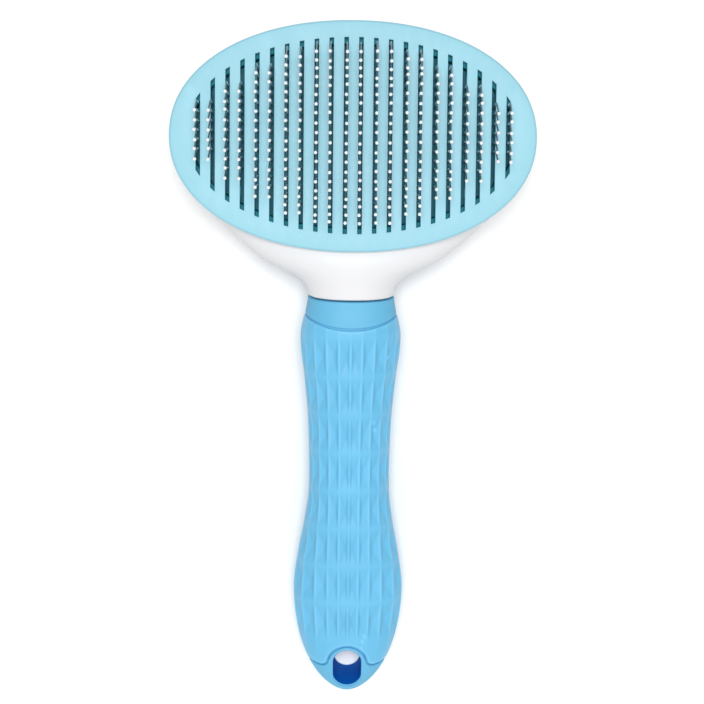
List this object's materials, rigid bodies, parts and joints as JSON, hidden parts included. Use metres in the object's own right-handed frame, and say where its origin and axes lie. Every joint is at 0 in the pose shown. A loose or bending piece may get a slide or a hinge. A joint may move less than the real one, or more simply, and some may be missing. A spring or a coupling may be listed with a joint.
{
  "type": "slicker brush",
  "caption": "Oval self-cleaning slicker brush: bent ball-tipped wire pins through a slotted plate that a spring-returned back button lifts, on a faceted soft-grip handle with a hanging hole.",
  "frame": {"origin": "bottom centre of the bounding box: the surface the brush lies on, back down, midway between the head's far edge and the handle's tail", "axes": "+Z out of the face plate, along the pins and the plate's travel; +Y from the handle towards the head's far edge; +X across the head"},
  "size_m": [0.103, 0.1994, 0.0502],
  "materials": {
    "shell_white": "smooth moulded ABS, satin gloss",
    "bed_teal": "moulded plastic",
    "pad_rubber": "matt rubber",
    "pin_wire": "bright drawn stainless wire",
    "screw_steel": "zinc-plated steel",
    "spring_steel": "spring steel wire",
    "handle_blue": "smooth moulded plastic, satin",
    "grip_blue": "soft-touch thermoplastic rubber, matt",
    "plate_cyan": "fine-textured moulded ABS"
  },
  "bodies": {
    "brush": {"head_shell": "shell_white", "pin_bed": "bed_teal", "pin_pad": "pad_rubber", "pin_row_01": "pin_wire", "pin_row_02": "pin_wire", "pin_row_03": "pin_wire", "pin_row_04": "pin_wire", "pin_row_05": "pin_wire", "pin_row_06": "pin_wire", "pin_row_07": "pin_wire", "pin_row_08": "pin_wire", "pin_row_09": "pin_wire", "pin_row_10": "pin_wire", "pin_row_11": "pin_wire", "bed_screws": "screw_steel", "handle_core": "handle_blue", "grip": "grip_blue", "neck_screw": "screw_steel"},
    "push_plate": {"face_plate": "plate_cyan", "push_button": "plate_cyan", "return_spring_left": "spring_steel", "return_spring_right": "spring_steel"}
  },
  "joints": [
    {"name": "plate_push", "type": "slide", "parent": "brush", "child": "push_plate", "axis": [0, 0, 1], "range_m": [0, 0.0105], "stiffness_N_per_m": 400, "springref_m": -0.01, "deforming": ["return_spring_left", "return_spring_right"]}
  ]
}
